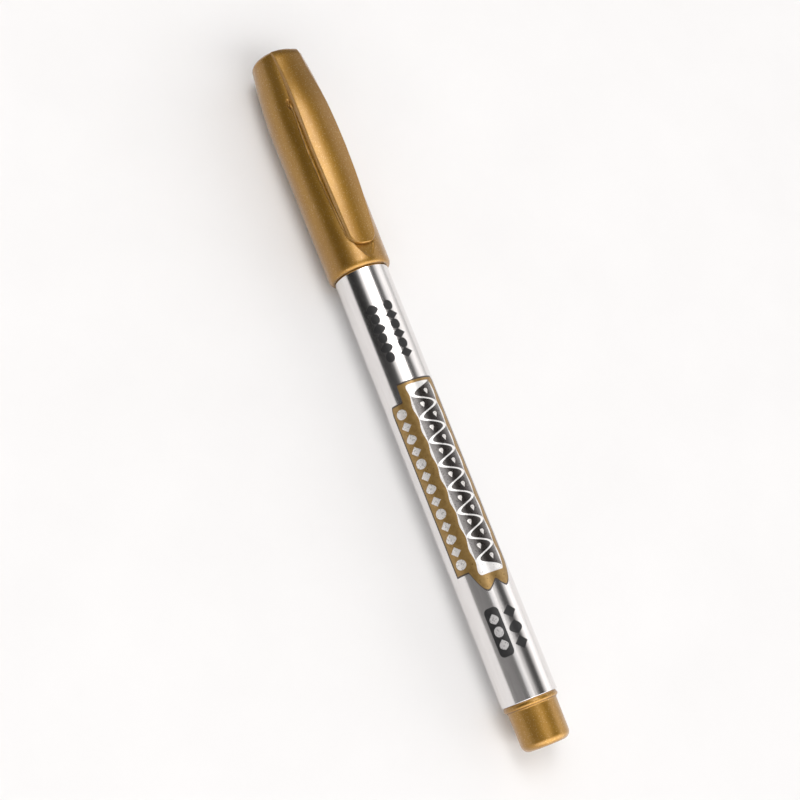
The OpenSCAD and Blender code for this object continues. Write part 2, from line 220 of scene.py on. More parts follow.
class Nodes:
    """Short ways to add nodes to a tree."""

    def __init__(self, tree):
        self.tree = tree

    def node(self, kind, inputs=None, **settings):
        n = self.tree.nodes.new(kind)
        for key, value in settings.items():
            setattr(n, key, value)
        for key, value in (inputs or {}).items():
            self.feed(n.inputs[key], value)
        return n

    def feed(self, socket, value):
        if isinstance(value, bpy.types.NodeSocket):
            self.tree.links.new(value, socket)
        else:
            socket.default_value = value

    def math(self, operation, a, b=0.0, c=0.0):
        """One step of arithmetic; MULTIPLY_ADD gives a times b plus c."""
        return self.node("ShaderNodeMath", {0: a, 1: b, 2: c}, operation=operation).outputs[0]

    def coordinates(self, scale=(1, 1, 1)):
        """Object coordinates, in metres, times a scale."""
        source = self.node("ShaderNodeTexCoord").outputs["Object"]
        return self.node("ShaderNodeMapping", {"Vector": source, "Scale": scale}).outputs[0]

    def noise(self, scale, detail=3.0, roughness=0.5, stretch=(1, 1, 1)):
        """Noise with about `scale` waves to the metre, times the stretch on each axis."""
        return self.node("ShaderNodeTexNoise", {
            "Vector": self.coordinates(stretch), "Scale": scale,
            "Detail": detail, "Roughness": roughness}).outputs["Fac"]

    def cells(self, scale):
        """Small cells, each of one random colour."""
        return self.node("ShaderNodeTexVoronoi", {
            "Vector": self.coordinates(), "Scale": scale}, feature="F1").outputs["Color"]

    def share(self, value, start, end):
        """How far a value has come from start to end, kept between 0 and 1."""
        return self.node("ShaderNodeMapRange", {
            "Value": value, "From Min": start, "From Max": end}).outputs[0]

    def ramp(self, fac, stops):
        """A colour ramp; stops are (position, colour) with colour a grey or an RGB triple."""
        n = self.node("ShaderNodeValToRGB", {"Fac": fac})
        elements = n.color_ramp.elements
        while len(elements) < len(stops):
            elements.new(0.5)
        for element, (position, colour) in zip(elements, stops):
            rgb = (colour,) * 3 if isinstance(colour, (int, float)) else colour
            element.position = position
            element.color = (*rgb, 1)
        return n.outputs["Color"]

    def blend(self, fac, a, b, blend_type="MIX"):
        """A mix of two colours; the Mix node has its colours on inputs 6 and 7, output 2."""
        n = self.node("ShaderNodeMix", data_type="RGBA", blend_type=blend_type)
        self.feed(n.inputs["Factor"], fac)
        for key, value in ((6, a), (7, b)):
            self.feed(n.inputs[key], (*value, 1) if isinstance(value, tuple) else value)
        return n.outputs[2]

    def bump(self, height, strength, distance, normal=None):
        """A bumped normal, over another one if given; the distance is in metres."""
        inputs = {"Height": height, "Strength": strength, "Distance": distance}
        if normal is not None:
            inputs["Normal"] = normal
        return self.node("ShaderNodeBump", inputs).outputs["Normal"]


class Shader(Nodes):
    """A material under construction; underscores in socket names stand for spaces."""

    def __init__(self, name, roughness=0.5, metallic=0.0, **sockets):
        self.material = bpy.data.materials.new(name)
        self.material.use_nodes = True
        super().__init__(self.material.node_tree)
        self.bsdf = self.tree.nodes["Principled BSDF"]
        self.bsdf.inputs["Roughness"].default_value = roughness
        self.bsdf.inputs["Metallic"].default_value = metallic
        for key, value in sockets.items():
            self.bsdf.inputs[key.replace("_", " ")].default_value = value

    def set(self, name, value):
        self.feed(self.bsdf.inputs[name], value)


def gold_plastic():
    """Gold pearl moulding: metallic flake in a clear plastic, with a soft skin."""
    s = Shader("gold_plastic", metallic=0.92, Coat_Weight=1.0, Coat_Roughness=0.25, Coat_IOR=1.5)
    flow = s.noise(140, detail=4, roughness=0.6, stretch=(0.35, 1, 1))
    body = s.ramp(flow, [(0.3, (0.30, 0.142, 0.010)), (0.7, (0.39, 0.200, 0.018))])
    flake = s.cells(7500)
    bright = s.node("ShaderNodeSeparateColor", {"Color": flake}).outputs[0]
    glint = s.ramp(bright, [(0.0, 0.0), (0.7, 0.06), (0.9, 0.2), (1.0, 1.0)])
    s.set("Base Color", s.blend(s.math("MULTIPLY", glint, 0.24), body, (1.0, 0.76, 0.36)))
    s.set("Roughness", s.math("MULTIPLY_ADD", s.noise(900, detail=3), 0.12, 0.36))
    waves = s.bump(s.noise(420, detail=2, stretch=(0.3, 1, 1)), 0.12, 0.00012)
    s.set("Normal", s.bump(bright, 0.16, 0.00003, waves))
    return s.material


def barrel_metal():
    """Polished aluminium with fine marks along its length, in a clear lacquer."""
    s = Shader("barrel_metal", metallic=1.0, Coat_Weight=0.2, Coat_Roughness=0.08)
    streaks = s.noise(1, detail=4, roughness=0.7, stretch=(260, 7000, 7000))
    wide = s.noise(1, detail=2, stretch=(60, 900, 900))
    smudge = s.noise(160, detail=3)
    tone = s.ramp(streaks, [(0.3, (0.76, 0.735, 0.725)), (0.7, (0.88, 0.86, 0.85))])
    s.set("Base Color", s.blend(0.10, tone, s.ramp(wide, [(0.3, 0.5), (0.7, 1.0)]), "MULTIPLY"))
    s.set("Roughness", s.math("MULTIPLY_ADD", smudge, 0.05, 0.15))
    s.set("Normal", s.bump(streaks, 0.22, 0.000012))
    return s.material


def natural_plastic():
    """Milky natural moulding."""
    s = Shader("natural_plastic", Subsurface_Weight=0.15, Coat_Weight=0.1)
    s.bsdf.inputs["Subsurface Radius"].default_value = (0.0012, 0.001, 0.0008)
    s.set("Base Color", s.ramp(s.noise(180), [
        (0.3, (0.80, 0.79, 0.74)), (0.7, (0.88, 0.87, 0.83))]))
    s.set("Roughness", s.ramp(s.noise(1200), [(0.3, 0.38), (0.7, 0.5)]))
    s.set("Normal", s.bump(s.noise(3500), 0.12, 0.00002))
    return s.material


def fibre(name, dry, soaked, soak_from=None, soak_to=None):
    """Bundle of fibres along the pen; soaked with paint between two stations, if given."""
    s = Shader(name, Sheen_Weight=0.2)
    strands = s.noise(1, detail=5, roughness=0.65, stretch=(220, 6500, 6500))
    pale = s.ramp(strands, [(0.25, tuple(0.72 * c for c in dry)), (0.75, dry)])
    if soak_from is None:
        s.set("Base Color", pale)
    else:
        wet = s.ramp(strands, [(0.25, tuple(0.7 * c for c in soaked)), (0.75, soaked)])
        x = s.node("ShaderNodeSeparateXYZ", {0: s.coordinates()}).outputs[0]
        edge = s.math("ADD", x, s.math("MULTIPLY", strands, 0.0008))
        soaked_share = s.share(edge, TAIL_X - soak_from * MM, TAIL_X - soak_to * MM)
        s.set("Base Color", s.blend(soaked_share, pale, wet))
    s.set("Roughness", s.ramp(strands, [(0.2, 0.9), (0.8, 0.7)]))
    s.set("Normal", s.bump(strands, 0.5, 0.00005))
    return s.material


def seal_rubber():
    """Dark elastomer with a talc bloom."""
    s = Shader("seal_rubber")
    bloom = s.noise(700, detail=4)
    s.set("Base Color", s.ramp(bloom, [(0.35, (0.018, 0.018, 0.02)), (0.75, (0.06, 0.06, 0.062))]))
    s.set("Roughness", s.ramp(bloom, [(0.3, 0.55), (0.8, 0.8)]))
    s.set("Normal", s.bump(s.noise(5000), 0.25, 0.00003))
    return s.material


def steel(name, low, high, tone):
    """Bare steel with drawing marks; low and high bound its roughness."""
    s = Shader(name, metallic=1.0)
    marks = s.noise(2600, detail=4, roughness=0.7)
    s.set("Base Color", s.ramp(marks, [(0.3, tuple(0.85 * c for c in tone)), (0.7, tone)]))
    s.set("Roughness", s.ramp(marks, [(0.3, low), (0.7, high)]))
    s.set("Normal", s.bump(marks, 0.1, 0.00001))
    return s.material


def ink(name, low, high, metallic=0.0, roughness=0.4, grain=0.12):
    """Screen-printed ink, slightly uneven in density."""
    s = Shader(name, metallic=metallic, Coat_Weight=0.3, Coat_Roughness=0.12)
    cover = s.noise(1400, detail=4, roughness=0.65)
    s.set("Base Color", s.ramp(cover, [(0.3, low), (0.7, high)]))
    s.set("Roughness", s.ramp(s.noise(2600), [(0.3, roughness - 0.07), (0.7, roughness + 0.07)]))
    s.set("Normal", s.bump(cover, grain, 0.00001))
    return s.material


def bold_ink():
    """Dark ink of the big leaves, printed as a shading from dark in the middle of the border
    to grey along its edges."""
    s = Shader("ink_bold", roughness=0.3, metallic=0.4, Coat_Weight=0.3, Coat_Roughness=0.12)
    where = s.node("ShaderNodeSeparateXYZ", {"Vector": s.coordinates()})
    up = s.math("SUBTRACT", where.outputs["Z"], AXIS_Z)
    angle = s.math("ARCTAN2", where.outputs["Y"], up)
    off = s.math("ABSOLUTE", s.math("SUBTRACT", angle, math.radians(WAVE_MIDDLE)))
    share = s.math("DIVIDE", off, math.radians(LEAF_WIDE))
    grain = s.math("MULTIPLY_ADD", s.noise(1400, detail=4), 0.2, s.math("SUBTRACT", share, 0.1))
    s.set("Base Color", s.ramp(grain, [
        (0.3, (0.022, 0.018, 0.016)), (0.55, (0.05, 0.043, 0.04)),
        (0.85, (0.16, 0.15, 0.145)), (1.0, (0.30, 0.29, 0.285))]))
    s.set("Roughness", s.ramp(s.noise(2600), [(0.3, 0.24), (0.7, 0.38)]))
    s.set("Normal", s.bump(s.noise(1400, detail=4), 0.12, 0.00001))
    return s.material


# ---------------------------------------------------------------- cap

MOUTH_R = 6.1           # outside of the cap at its mouth
LIP_LENGTH = 1.1        # the mouth rounds in over this length
LIP_DEPTH = 0.55        # and by this much on the radius
BORE_R = BARREL_R - 0.15
TAPER = 16.0            # the cap rounds in over this length below its top
RIM_ROUND = 1.4
FLAT_R = 3.85           # flat disc on top
RIM_R = FLAT_R + 0.95 * RIM_ROUND
RING_STOP = 1.2         # the rings of the cap's side end this far below its top
INNER_STOP = LENGTH - 10.5      # seat of the inner cap's flange
SLOT_BELOW = 12.4               # from the cap's top to where the clip grows out of it
SLOT_END = LENGTH - SLOT_BELOW
CLIP_CORNER = 2.3               # rounding of the clip's tip, in plan
BOW_END = CLIP_TIP - 2.7        # the pad under the clip runs on to here
BOW_START = CLIP_TIP + CLIP_CORNER
PAD_EDGE = 0.11                 # half width of the rounding along the pad's edge
PAD_RAMP = 0.3                  # the pad ends in a step of this length at the slot's end
EYE = LENGTH - 12.3             # middle of the small oval pit at each side of the clip's root
EYE_LONG, EYE_WIDE, EYE_DEPTH = 1.3, 0.42, 0.4
GATE_R, GATE_DEPTH = 0.95, 0.12         # moulding mark in the middle of the flat top


def body_radius(along):
    """Outside of the plain cap."""
    below = LENGTH - along
    if below > TAPER:
        return mix(CAP_R, MOUTH_R, (below - TAPER) / (LENGTH - MOUTH - TAPER))
    share = (TAPER - below) / (TAPER - RIM_ROUND)
    return CAP_R - (CAP_R - RIM_R) * share * share


def clip_half(along):
    """Half width of the clip, with its tip rounded in plan."""
    below = LENGTH - along
    tip_below = LENGTH - CLIP_TIP
    half = curve_through([(1, 3.02), (5, 3.02), (9, 3.20), (14, 3.50), (22, CLIP_HALF),
                          (30, 3.52), (37, 3.16), (tip_below, 2.78)], below)
    t = tip_below - below
    if t < CLIP_CORNER:
        half -= round_over(t, CLIP_CORNER)
    return half


def pad_half(along):
    """Half width of the pad under the clip, which narrows to a bow past the tip."""
    if along >= BOW_START:
        return clip_half(along)
    t = (along - BOW_END) / (BOW_START - BOW_END)
    return clip_half(BOW_START) * max(t, 0.0) ** 0.72


def pad_up(along):
    """Height of the flat pad over the axis."""
    below = LENGTH - along
    return curve_through([(SLOT_BELOW, 5.48), (14, 5.62), (18, 5.84), (28, 5.86), (40, 5.74),
                          (LENGTH - CLIP_TIP, 5.74), (LENGTH - BOW_END, 5.98)], below)


def eye_depth(along, side):
    """Depth of the small oval pits beside the clip's root, one on each side."""
    off = math.hypot((along - EYE) / EYE_LONG,
                     (abs(side) - clip_half(along) - 0.6 * EYE_WIDE) / EYE_WIDE)
    return EYE_DEPTH * smooth(2.2 * (1 - off))


def cap_radius(along, angle):
    """Outside of the cap: the plain body, with the oval pits and the pad let into it."""
    base = body_radius(along)
    if math.cos(angle) < 0.5 or along < BOW_END or along > EYE + EYE_LONG:
        return base
    base -= eye_depth(along, base * math.sin(angle))
    if along > SLOT_END + 0.4:
        return base
    flank = 0.75 if along < BOW_START else 1.0      # a softer edge round the bow
    inside = (pad_half(along) - abs(base * math.sin(angle))) * flank
    share = smooth((inside + PAD_EDGE) / (2 * PAD_EDGE))
    share *= smooth((SLOT_END + PAD_RAMP - along) / PAD_RAMP)
    return mix(base, pad_up(along) / math.cos(angle), share)


def spaced(*zones):
    """Stations from (start, end, step) zones, each end shared with the next start."""
    out = []
    for start, end, step in zones:
        count = max(1, round(abs(end - start) / step))
        out += [mix(start, end, i / count) for i in range(count)]
    return out + [zones[-1][1]]


def cap_angles():
    """Angles round the cap, closer together where the clip's pad has its edges."""
    half = [math.radians(a) for a in spaced((0, 24, 1), (24, 42, 0.4), (42, 180, 2))]
    return half[:-1] + [2 * math.pi - a for a in reversed(half[1:])]


def make_cap():
    """The cap without its clip: inside, mouth, outside and flat top, as rings from the roof."""
    angles = cap_angles()

    def ring(along, radius):
        return [polar(along, radius, a) for a in angles]

    stop, roof = INNER_STOP, INNER_STOP + 8.9
    seat_r, chamfer, lip_steps = BORE_R - 0.05, 0.15, 9
    inside = [(roof, 3.4), (stop + 8.0, 3.9), (stop, 4.5), (stop, seat_r),
              (stop - 4.0, seat_r), (stop - 4.5, BORE_R), (MOUTH + chamfer, BORE_R),
              (MOUTH, BORE_R + chamfer)]
    rows = [[place(roof, 0, 0)]] + [ring(*p) for p in inside]
    for i in range(lip_steps):
        t = math.radians(90 * i / lip_steps)
        rows.append(ring(MOUTH + LIP_LENGTH * (1 - math.cos(t)),
                         MOUTH_R - LIP_DEPTH * (1 - math.sin(t))))
    outer = spaced((MOUTH + LIP_LENGTH, BOW_END + 0.1, 0.1),
                   (BOW_END + 0.1, CLIP_TIP + 3, 0.12), (CLIP_TIP + 3, EYE - EYE_LONG, 0.8),
                   (EYE - EYE_LONG, SLOT_END - 0.4, 0.12),
                   (SLOT_END - 0.4, SLOT_END + 0.5, 0.1), (SLOT_END + 0.5, EYE + EYE_LONG, 0.12),
                   (EYE + EYE_LONG, LENGTH - RING_STOP, 0.5))
    rows += [[polar(along, cap_radius(along, a), a) for a in angles] for along in outer]
    rows += [ring(*p) for p in fillet(LENGTH - RIM_ROUND, FLAT_R, RIM_ROUND, 20, 90)]
    gate = [(LENGTH, 2.5), (LENGTH, GATE_R), (LENGTH - 0.03, GATE_R - 0.1),
            (LENGTH - GATE_DEPTH, GATE_R - 0.2)]
    rows += [ring(*p) for p in gate] + [[place(LENGTH - GATE_DEPTH, 0, 0)]]
    return grid_mesh("cap_body", rows)


CROWN_R = 9.6           # curve across the clip's back
CLIP_NOSE = 0.34        # the back rounds over at the tip
CLIP_EDGE = 0.2         # rounding of its upper edges
UNDER_EDGE = 0.1        # rounding of its lower edges
DRAFT = 0.2             # its sides lean in by this much from bottom to top
SKIRT = 0.2             # its sides reach this much lower than the middle of its underside
ROOT_SINK = 0.5         # how deep its root is sunk in the cap's wall
THINNEST = 0.15         # least thickness of the clip


def clip_crest(along):
    """Height of the middle of the clip's back over the axis."""
    below = LENGTH - along
    crest = curve_through([
        (0.5, 4.9), (1.0, 5.18), (1.8, 5.42), (3.3, 5.66), (5.4, 6.02), (7.5, 6.42),
        (9.5, 6.80), (11.6, 7.13), (13.7, 7.37), (17.5, CLIP_CREST_UP - 0.05),
        (22, CLIP_CREST_UP), (27, CLIP_CREST_UP), (32, 7.44), (38, 7.02),
        (LENGTH - CLIP_TIP, 6.62)], below)
    t = along - CLIP_TIP
    if t < CLIP_NOSE:
        crest -= round_over(t, CLIP_NOSE)
    return min(crest, CLIP_CREST_UP - 0.005)


def clip_under(along, side):
    """Underside of the clip: flat along the arm, and sunk in the cap's wall at the root."""
    if along > SLOT_END:
        return math.sqrt((body_radius(along) - ROOT_SINK) ** 2 - side ** 2)
    below = LENGTH - along
    middle = curve_through([(SLOT_BELOW, 5.74), (14, 5.92), (18, 6.16), (28, 6.20), (38, 6.12),
                            (LENGTH - CLIP_TIP, 6.04)], below)
    skirt = SKIRT * smooth((abs(side) - clip_half(along) + 0.75) / 0.3)
    return middle - skirt


def clip_row(along):
    """One closed section of the clip, as (side, up) points: back, right side, underside, left."""
    half, crest = clip_half(along), clip_crest(along)

    def back(side):
        return crest - CROWN_R + math.sqrt(CROWN_R ** 2 - side ** 2)

    columns, corner_steps, under_steps = 28, 6, 16
    top_half = half - min(DRAFT, 0.3 * half)
    flat = max(top_half - CLIP_EDGE, 0.02)
    sides = [mix(-flat, flat, i / columns) for i in range(columns + 1)]
    top = [(s, back(s)) for s in sides]
    lean = math.asin(flat / CROWN_R)
    corner_side = flat - CLIP_EDGE * math.sin(lean)
    edge = top_half - corner_side if top_half > CLIP_EDGE else CLIP_EDGE
    corner_up = back(flat) - CLIP_EDGE * math.cos(lean)
    right = []
    for i in range(1, corner_steps + 1):
        a = mix(math.pi / 2 - lean, 0, i / corner_steps)
        right.append((corner_side + edge * math.cos(a), corner_up + CLIP_EDGE * math.sin(a)))
    wall = max(half, right[-1][0])
    low = min(clip_under(along, wall - UNDER_EDGE), corner_up - UNDER_EDGE)
    for i in range(4):
        a = -math.pi / 2 * i / 3
        right.append((wall - UNDER_EDGE + UNDER_EDGE * math.cos(a),
                      low + UNDER_EDGE + UNDER_EDGE * math.sin(a)))
    reach = wall - UNDER_EDGE
    under = [mix(reach, -reach, i / under_steps) for i in range(1, under_steps)]
    bottom = [(s, min(clip_under(along, s), back(s) - THINNEST)) for s in under]
    left = [(-s, u) for s, u in reversed(right)]
    return top + right + bottom + left


def make_clip():
    """The clip, from its tip to its root in the cap's top."""
    stations = spaced((CLIP_TIP, CLIP_TIP + 0.3, 0.05), (CLIP_TIP + 0.3, CLIP_TIP + 2.4, 0.15),
                      (CLIP_TIP + 2.4, SLOT_END - 0.2, 0.7), (SLOT_END - 0.2, SLOT_END + 0.2, 0.1),
                      (SLOT_END + 0.2, LENGTH - 2, 0.5), (LENGTH - 2, LENGTH - 0.5, 0.15))
    rows = [[place(along, side, up) for side, up in clip_row(along)] for along in stations]
    return grid_mesh("clip_arm", rows, sharp_degrees=50)


# ---------------------------------------------------------------- barrel, plug and section

def make_barrel():
    """The tube, which steps down to a neck where the cap covers it."""
    neck_r, wall = BARREL_R - 0.2, 0.4
    neck = MOUTH - 0.05
    rear_round, step_round, front_round = 0.12, 0.25, 0.1
    outline = ([(BARREL_REAR, BARREL_R - wall)]
               + fillet(BARREL_REAR + rear_round, BARREL_R - rear_round, rear_round, -90, 0, 5)
               + fillet(neck - 0.32, BARREL_R - step_round, step_round, 0, 50, 5)
               + [(neck, neck_r + 0.03), (neck + 0.15, neck_r)]
               + fillet(BARREL_FRONT - front_round, neck_r - front_round, front_round, 0, 90, 4)
               + [(BARREL_FRONT, neck_r - wall), (neck, neck_r - wall),
                  (neck - 0.5, BARREL_R - wall)])
    return turned("barrel", outline, segments=256, sharp_degrees=40)


def make_plug():
    """The tail plug: a stub with a ring mark on its end, a flange, and a sleeve inside."""
    rear, front = node_along("tail_plug")
    stub, end_round = BARREL_R - 0.65, 1.4
    flange, flange_round, cove = BARREL_REAR - 1.1, 0.5, 0.25
    sleeve, inner, mark_depth = BARREL_R - 0.45, stub - 1.0, 0.06
    outline = ([(rear, 0), (rear, 1.1), (rear + mark_depth, 1.18), (rear + mark_depth, 1.6),
                (rear, 1.68)]
               + fillet(rear + end_round, stub - 0.07 - end_round, end_round, -90, 0, 10)
               + [(flange - 0.3, stub)]
               + [(flange - cove + cove * math.sin(t), stub + cove - cove * math.cos(t))
                  for t in (0.4, 0.8, 1.2)]
               + fillet(flange + flange_round, BARREL_R - 0.67, flange_round, -80, 20, 7)
               + [(BARREL_REAR - 0.12, BARREL_R - 0.32), (BARREL_REAR - 0.01, BARREL_R - 0.42),
                  (BARREL_REAR, sleeve), (front - 0.8, sleeve),
                  (front, BARREL_R - 1.0), (front, inner + 0.2), (rear + 1.8, inner - 0.2),
                  (rear + 1.0, inner - 1.0), (rear + 1.0, 0)])
    return turned("tail_cap", outline)


def make_section():
    """The grip: a spigot in the barrel, a flange, a bead, a ringed cone and a front land."""
    flange, front = BARREL_FRONT + 0.3, node_along("grip_section")[1]
    land, bead, cone = front - 3.3, flange + 3.3, flange + 4.6
    flange_r, grip, spigot = BARREL_R - 0.25, BARREL_R - 0.6, BARREL_R - 0.78
    grip_front, land_r, bore, throat = 4.05, 3.4, 2.7, 2.2
    skirt, ledge, bore_end = BARREL_FRONT - 10, BARREL_FRONT - 5, flange + 6
    skirt_wall, flange_round, bead_round = 0.25, 0.15, 0.55
    cone_round, chamfer = 0.45, 0.08
    outline = [(skirt, spigot - skirt_wall), (skirt, spigot), (flange, spigot)]
    outline += fillet(flange + flange_round, flange_r - flange_round, flange_round, -90, 0, 4)
    outline += fillet(flange + 1.05, flange_r - flange_round, flange_round, 0, 80, 4)
    outline += [(flange + 1.35, grip + 0.06), (flange + 1.7, grip)]
    outline += [(bead + bead_round * math.sin(t), grip - 0.3 + bead_round * math.cos(t))
                for t in (-0.95, -0.6, -0.3, 0, 0.3, 0.6, 0.95)]
    outline += [(cone, grip)]
    rings, ring_half, ring_depth = 9, 0.22, 0.1
    for i in range(rings):
        middle = mix(flange + 5.6, land - 2.0, i / (rings - 1))
        radius = mix(grip, grip_front, (middle - cone) / (land - cone))
        outline += [(middle - ring_half, radius), (middle - 0.1, radius - 0.09),
                    (middle + 0.1, radius - ring_depth), (middle + ring_half, radius - 0.01)]
    outline += fillet(land - 0.6, grip_front - cone_round, cone_round, 5, 90, 6)
    outline += [(land, land_r + chamfer), (land + 0.1, land_r)]
    outline += [(front - chamfer, land_r), (front, land_r - chamfer), (front, bore),
                (bore_end, bore), (bore_end, throat), (ledge, throat),
                (ledge, spigot - skirt_wall)]
    return turned("section", outline)


def make_nose():
    """The nose cone that holds and guides the nib."""
    rear, front = node_along("nose_cone")
    joint = node_along("grip_section")[1]
    guide, spigot, shoulder_round, tip_round = 1.15, 2.7, 1.5, 0.45
    outline = [(rear, guide + 0.2), (rear, spigot - 0.3), (rear + 0.5, spigot), (joint, spigot),
               (joint, 3.3)]
    outline += fillet(joint + 0.25, 1.9, shoulder_round, 0, 40, 6)
    outline += fillet(front - tip_round, guide + 0.1, tip_round, 30, 90, 6)
    outline += [(front - 0.12, guide), (rear + 0.2, guide)]
    return turned("nose", outline)


def make_nib():
    """Fibre rod with a chisel edge, worn soft along its corners."""
    rear, tip = node_along("nib")
    radius, wedge, edge_half, worn, sides = 1.1, 2.6, 0.17, 0.12, 72
    full = radius + 0.02            # the wedge's faces start just outside the rod
    rows = []
    stations = spaced((rear, tip - wedge, 2.0), (tip - wedge, tip - worn, 0.16),
                      (tip - worn, tip, 0.03))
    for along in stations:
        t = (along - (tip - wedge)) / wedge
        half = mix(full, edge_half, t) if t > 0 else full
        over = max(0.0, along - (tip - worn)) / worn
        half *= math.sqrt(max(1 - over ** 2, 0.04))
        span = radius * (1 - 0.08 * over ** 2)
        row = []
        for i in range(sides):
            a = 2 * math.pi * i / sides
            up, side = span * math.cos(a), span * math.sin(a)
            flat = abs(up) / half
            if flat > 1:
                up = math.copysign(half * (1 + 0.04 * math.tanh(flat - 1)), up)
            row.append(place(along, side, up))
        rows.append(row)
    return grid_mesh("nib_rod", rows, sharp_degrees=60)


def make_spring():
    """Closed coil spring of round wire, with flat end turns."""
    rear, front = node_along("valve_spring")
    wire = 0.36
    outer = (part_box("valve_spring")[1].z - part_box("valve_spring")[0].z) / 2 / MM
    turns, steps, sides = 6, 48, 14

    def rise(turn):
        """Closed first and last turns, open ones between."""
        low, high = rear + wire / 2, front - wire / 2
        if turn < 1:
            return low + wire * turn
        if turn > turns - 1:
            return high - wire * (turns - turn)
        return mix(low + wire, high - wire, (turn - 1) / (turns - 2))

    rows = []
    for i in range(turns * steps + 1):
        turn = i / steps
        along = rise(turn)
        a = 2 * math.pi * turn
        ring = []
        for k in range(sides):
            t = 2 * math.pi * k / sides
            radius = outer - wire / 2 + wire / 2 * math.cos(t)
            ring.append(polar(along + wire / 2 * math.sin(t), radius, a))
        rows.append(ring)
    return grid_mesh("spring", rows)


# ---------------------------------------------------------------- print on the barrel

SINK = 0.03             # how deep the printed shells start under the surface
LAYER = 0.012           # how much each layer of ink stands over the one below
DEGREE = math.radians(1)
NARROWEST = 0.15        # least width of a printed shape, in degrees


def printed(name, shapes, layer):
    """Thin closed shells lying on the barrel, in a layer counted from 1. A shape is a list of
    lines, and a line is a list of (along, angle) points, angles in degrees from the clip."""
    lift = layer * LAYER
    grids = []
    for lines in shapes:
        rows = []
        for line in lines:
            over = [polar(a, BARREL_R + lift, t * DEGREE) for a, t in line]
            under = [polar(a, BARREL_R - SINK, t * DEGREE) for a, t in reversed(line)]
            rows.append(over + under)
        grids.append(rows)
    return grid_mesh(name, *grids, sharp_degrees=50)


def across(start, end, left, right, rows=24, columns=10):
    """A shape between two stations, bounded by left and right angles at each station."""
    lines = []
    for i in range(rows + 1):
        along = mix(start, end, i / rows)
        a, b = left(along), right(along)
        if b - a < NARROWEST:
            a, b = (a + b) / 2 - NARROWEST / 2, (a + b) / 2 + NARROWEST / 2
        lines.append([(along, mix(a, b, k / columns)) for k in range(columns + 1)])
    return lines


def lengthwise(left, right, low, high, rows=90, columns=24):
    """A shape between two angles, bounded by low and high stations at each angle."""
    lines = []
    for i in range(rows + 1):
        angle = mix(left, right, i / rows)
        lo, hi = low(angle), high(angle)
        lines.append([(mix(lo, hi, k / columns), angle) for k in range(columns + 1)])
    return lines


def figure(kind, middle, half_long, angle, half_wide):
    """One small generic ornament, centred at a station and an angle."""
    outline = {
        "lozenge": lambda x: 1 - abs(x),
        "disc": lambda x: math.sqrt(1 - x * x),
        "leaf": lambda x: (1 - x * x) * (1 - 0.25 * x),
        "drop": lambda x: math.sqrt(1 - x * x) * (0.55 + 0.45 * x),
    }[kind]

    def half(along):
        return half_wide * outline(min(max((along - middle) / half_long, -1), 1))

    return across(middle - half_long, middle + half_long, lambda a: angle - half(a),
                  lambda a: angle + half(a), columns=max(4, round(half_wide)))


def figures(kinds, count, first, last, half_long, angle):
    """A line of small ornaments along the barrel, at one angle, between the middles of the first
    and the last. Kinds are (kind, half width in degrees), taken in turn."""
    out = []
    for i in range(count):
        kind, half_wide = kinds[i % len(kinds)]
        out.append(figure(kind, mix(first, last, i / (count - 1)), half_long, angle, half_wide))
    return out


PLATE_LEFT, PLATE_RIGHT = -79.5, 44     # the plate's sides, in degrees
STRIP_LOW, STRIP_END = 32.4, -49        # rear edge of its side strip, and the strip's last degree


def plate_low(angle, inset=0.0):
    """Lobed rear edge of the plate."""
    if angle < STRIP_END:
        return STRIP_LOW + inset
    lobes = curve_through([
        (STRIP_END, STRIP_LOW), (-40, 30.2), (-31, 28.7), (-23.7, 28.3), (-14, 28.9), (-3.5, 29.8),
        (6, 28.9), (15.5, 28.3), (26, 29.0), (36, 30.6), (PLATE_RIGHT, 32.6)], angle)
    return lobes + inset


def plate_high(angle, inset=0.0):
    """Front edge of the plate: a step up from the side strip to the main block, each with its
    outer corner drawn back."""
    strip = 65.7 - 1.6 * max(0.0, (-73 - angle) / 6.5) ** 2
    block = 69.1 - 0.9 * max(0.0, (angle - 37) / 7) ** 2
    return mix(strip, block, smooth((angle + 46.5) / 1.6)) - inset


WAVE = 4.6              # length of one wave of the leaf border
WAVE_START = 66.2       # middle of its first leaf
LAST_LEAF = 32.5        # no leaf has its middle further back
WAVE_MIDDLE = -1        # angle of its middle
LEAF_WIDE = 26          # half width of the border, in degrees


def wave(along):
    """The border's wave: 1 at the middle of each leaf on one side, -1 on the other."""
    return math.cos(2 * math.pi * (WAVE_START - along) / WAVE)


def border_leaf(middle, side):
    """A leaf that grows in from one edge of the border, up to the wavy band between."""
    swing, gap, tip = 21.5, 4.4, 0.4
    reach = WAVE * math.acos((gap + tip - LEAF_WIDE) / swing) / (2 * math.pi)

    def inner(along):
        return WAVE_MIDDLE - swing * wave(along) + side * gap

    def edge(along):
        return WAVE_MIDDLE + side * LEAF_WIDE

    left, right = (inner, edge) if side > 0 else (edge, inner)
    return across(middle - reach, middle + reach, left, right, rows=48, columns=24)


def rounded_ends(low, high, middle, half, end, corner):
    """The left and right bounds, for across(), of a long shape with rounded ends. half() gives its
    half width on a side, which draws in by `corner` degrees over the last `end` mm."""
    def drawn_in(along):
        t = max(low + end - along, along - high + end, 0) / end
        return corner * (1 - math.sqrt(max(1 - t * t, 0)))

    return (lambda a: middle - half(a, -1) + drawn_in(a),
            lambda a: middle + half(a, 1) - drawn_in(a))


# Dark pill near the tail, and pale ground of the plate's border: stations of their ends
PILL_LOW, PILL_HIGH, GROUND_LOW, GROUND_HIGH = 16.55, 25.5, 31.3, 68.3
PILL_MIDDLE, PILL_HALF = -36.5, 14.7    # the pill's middle and half width, in degrees


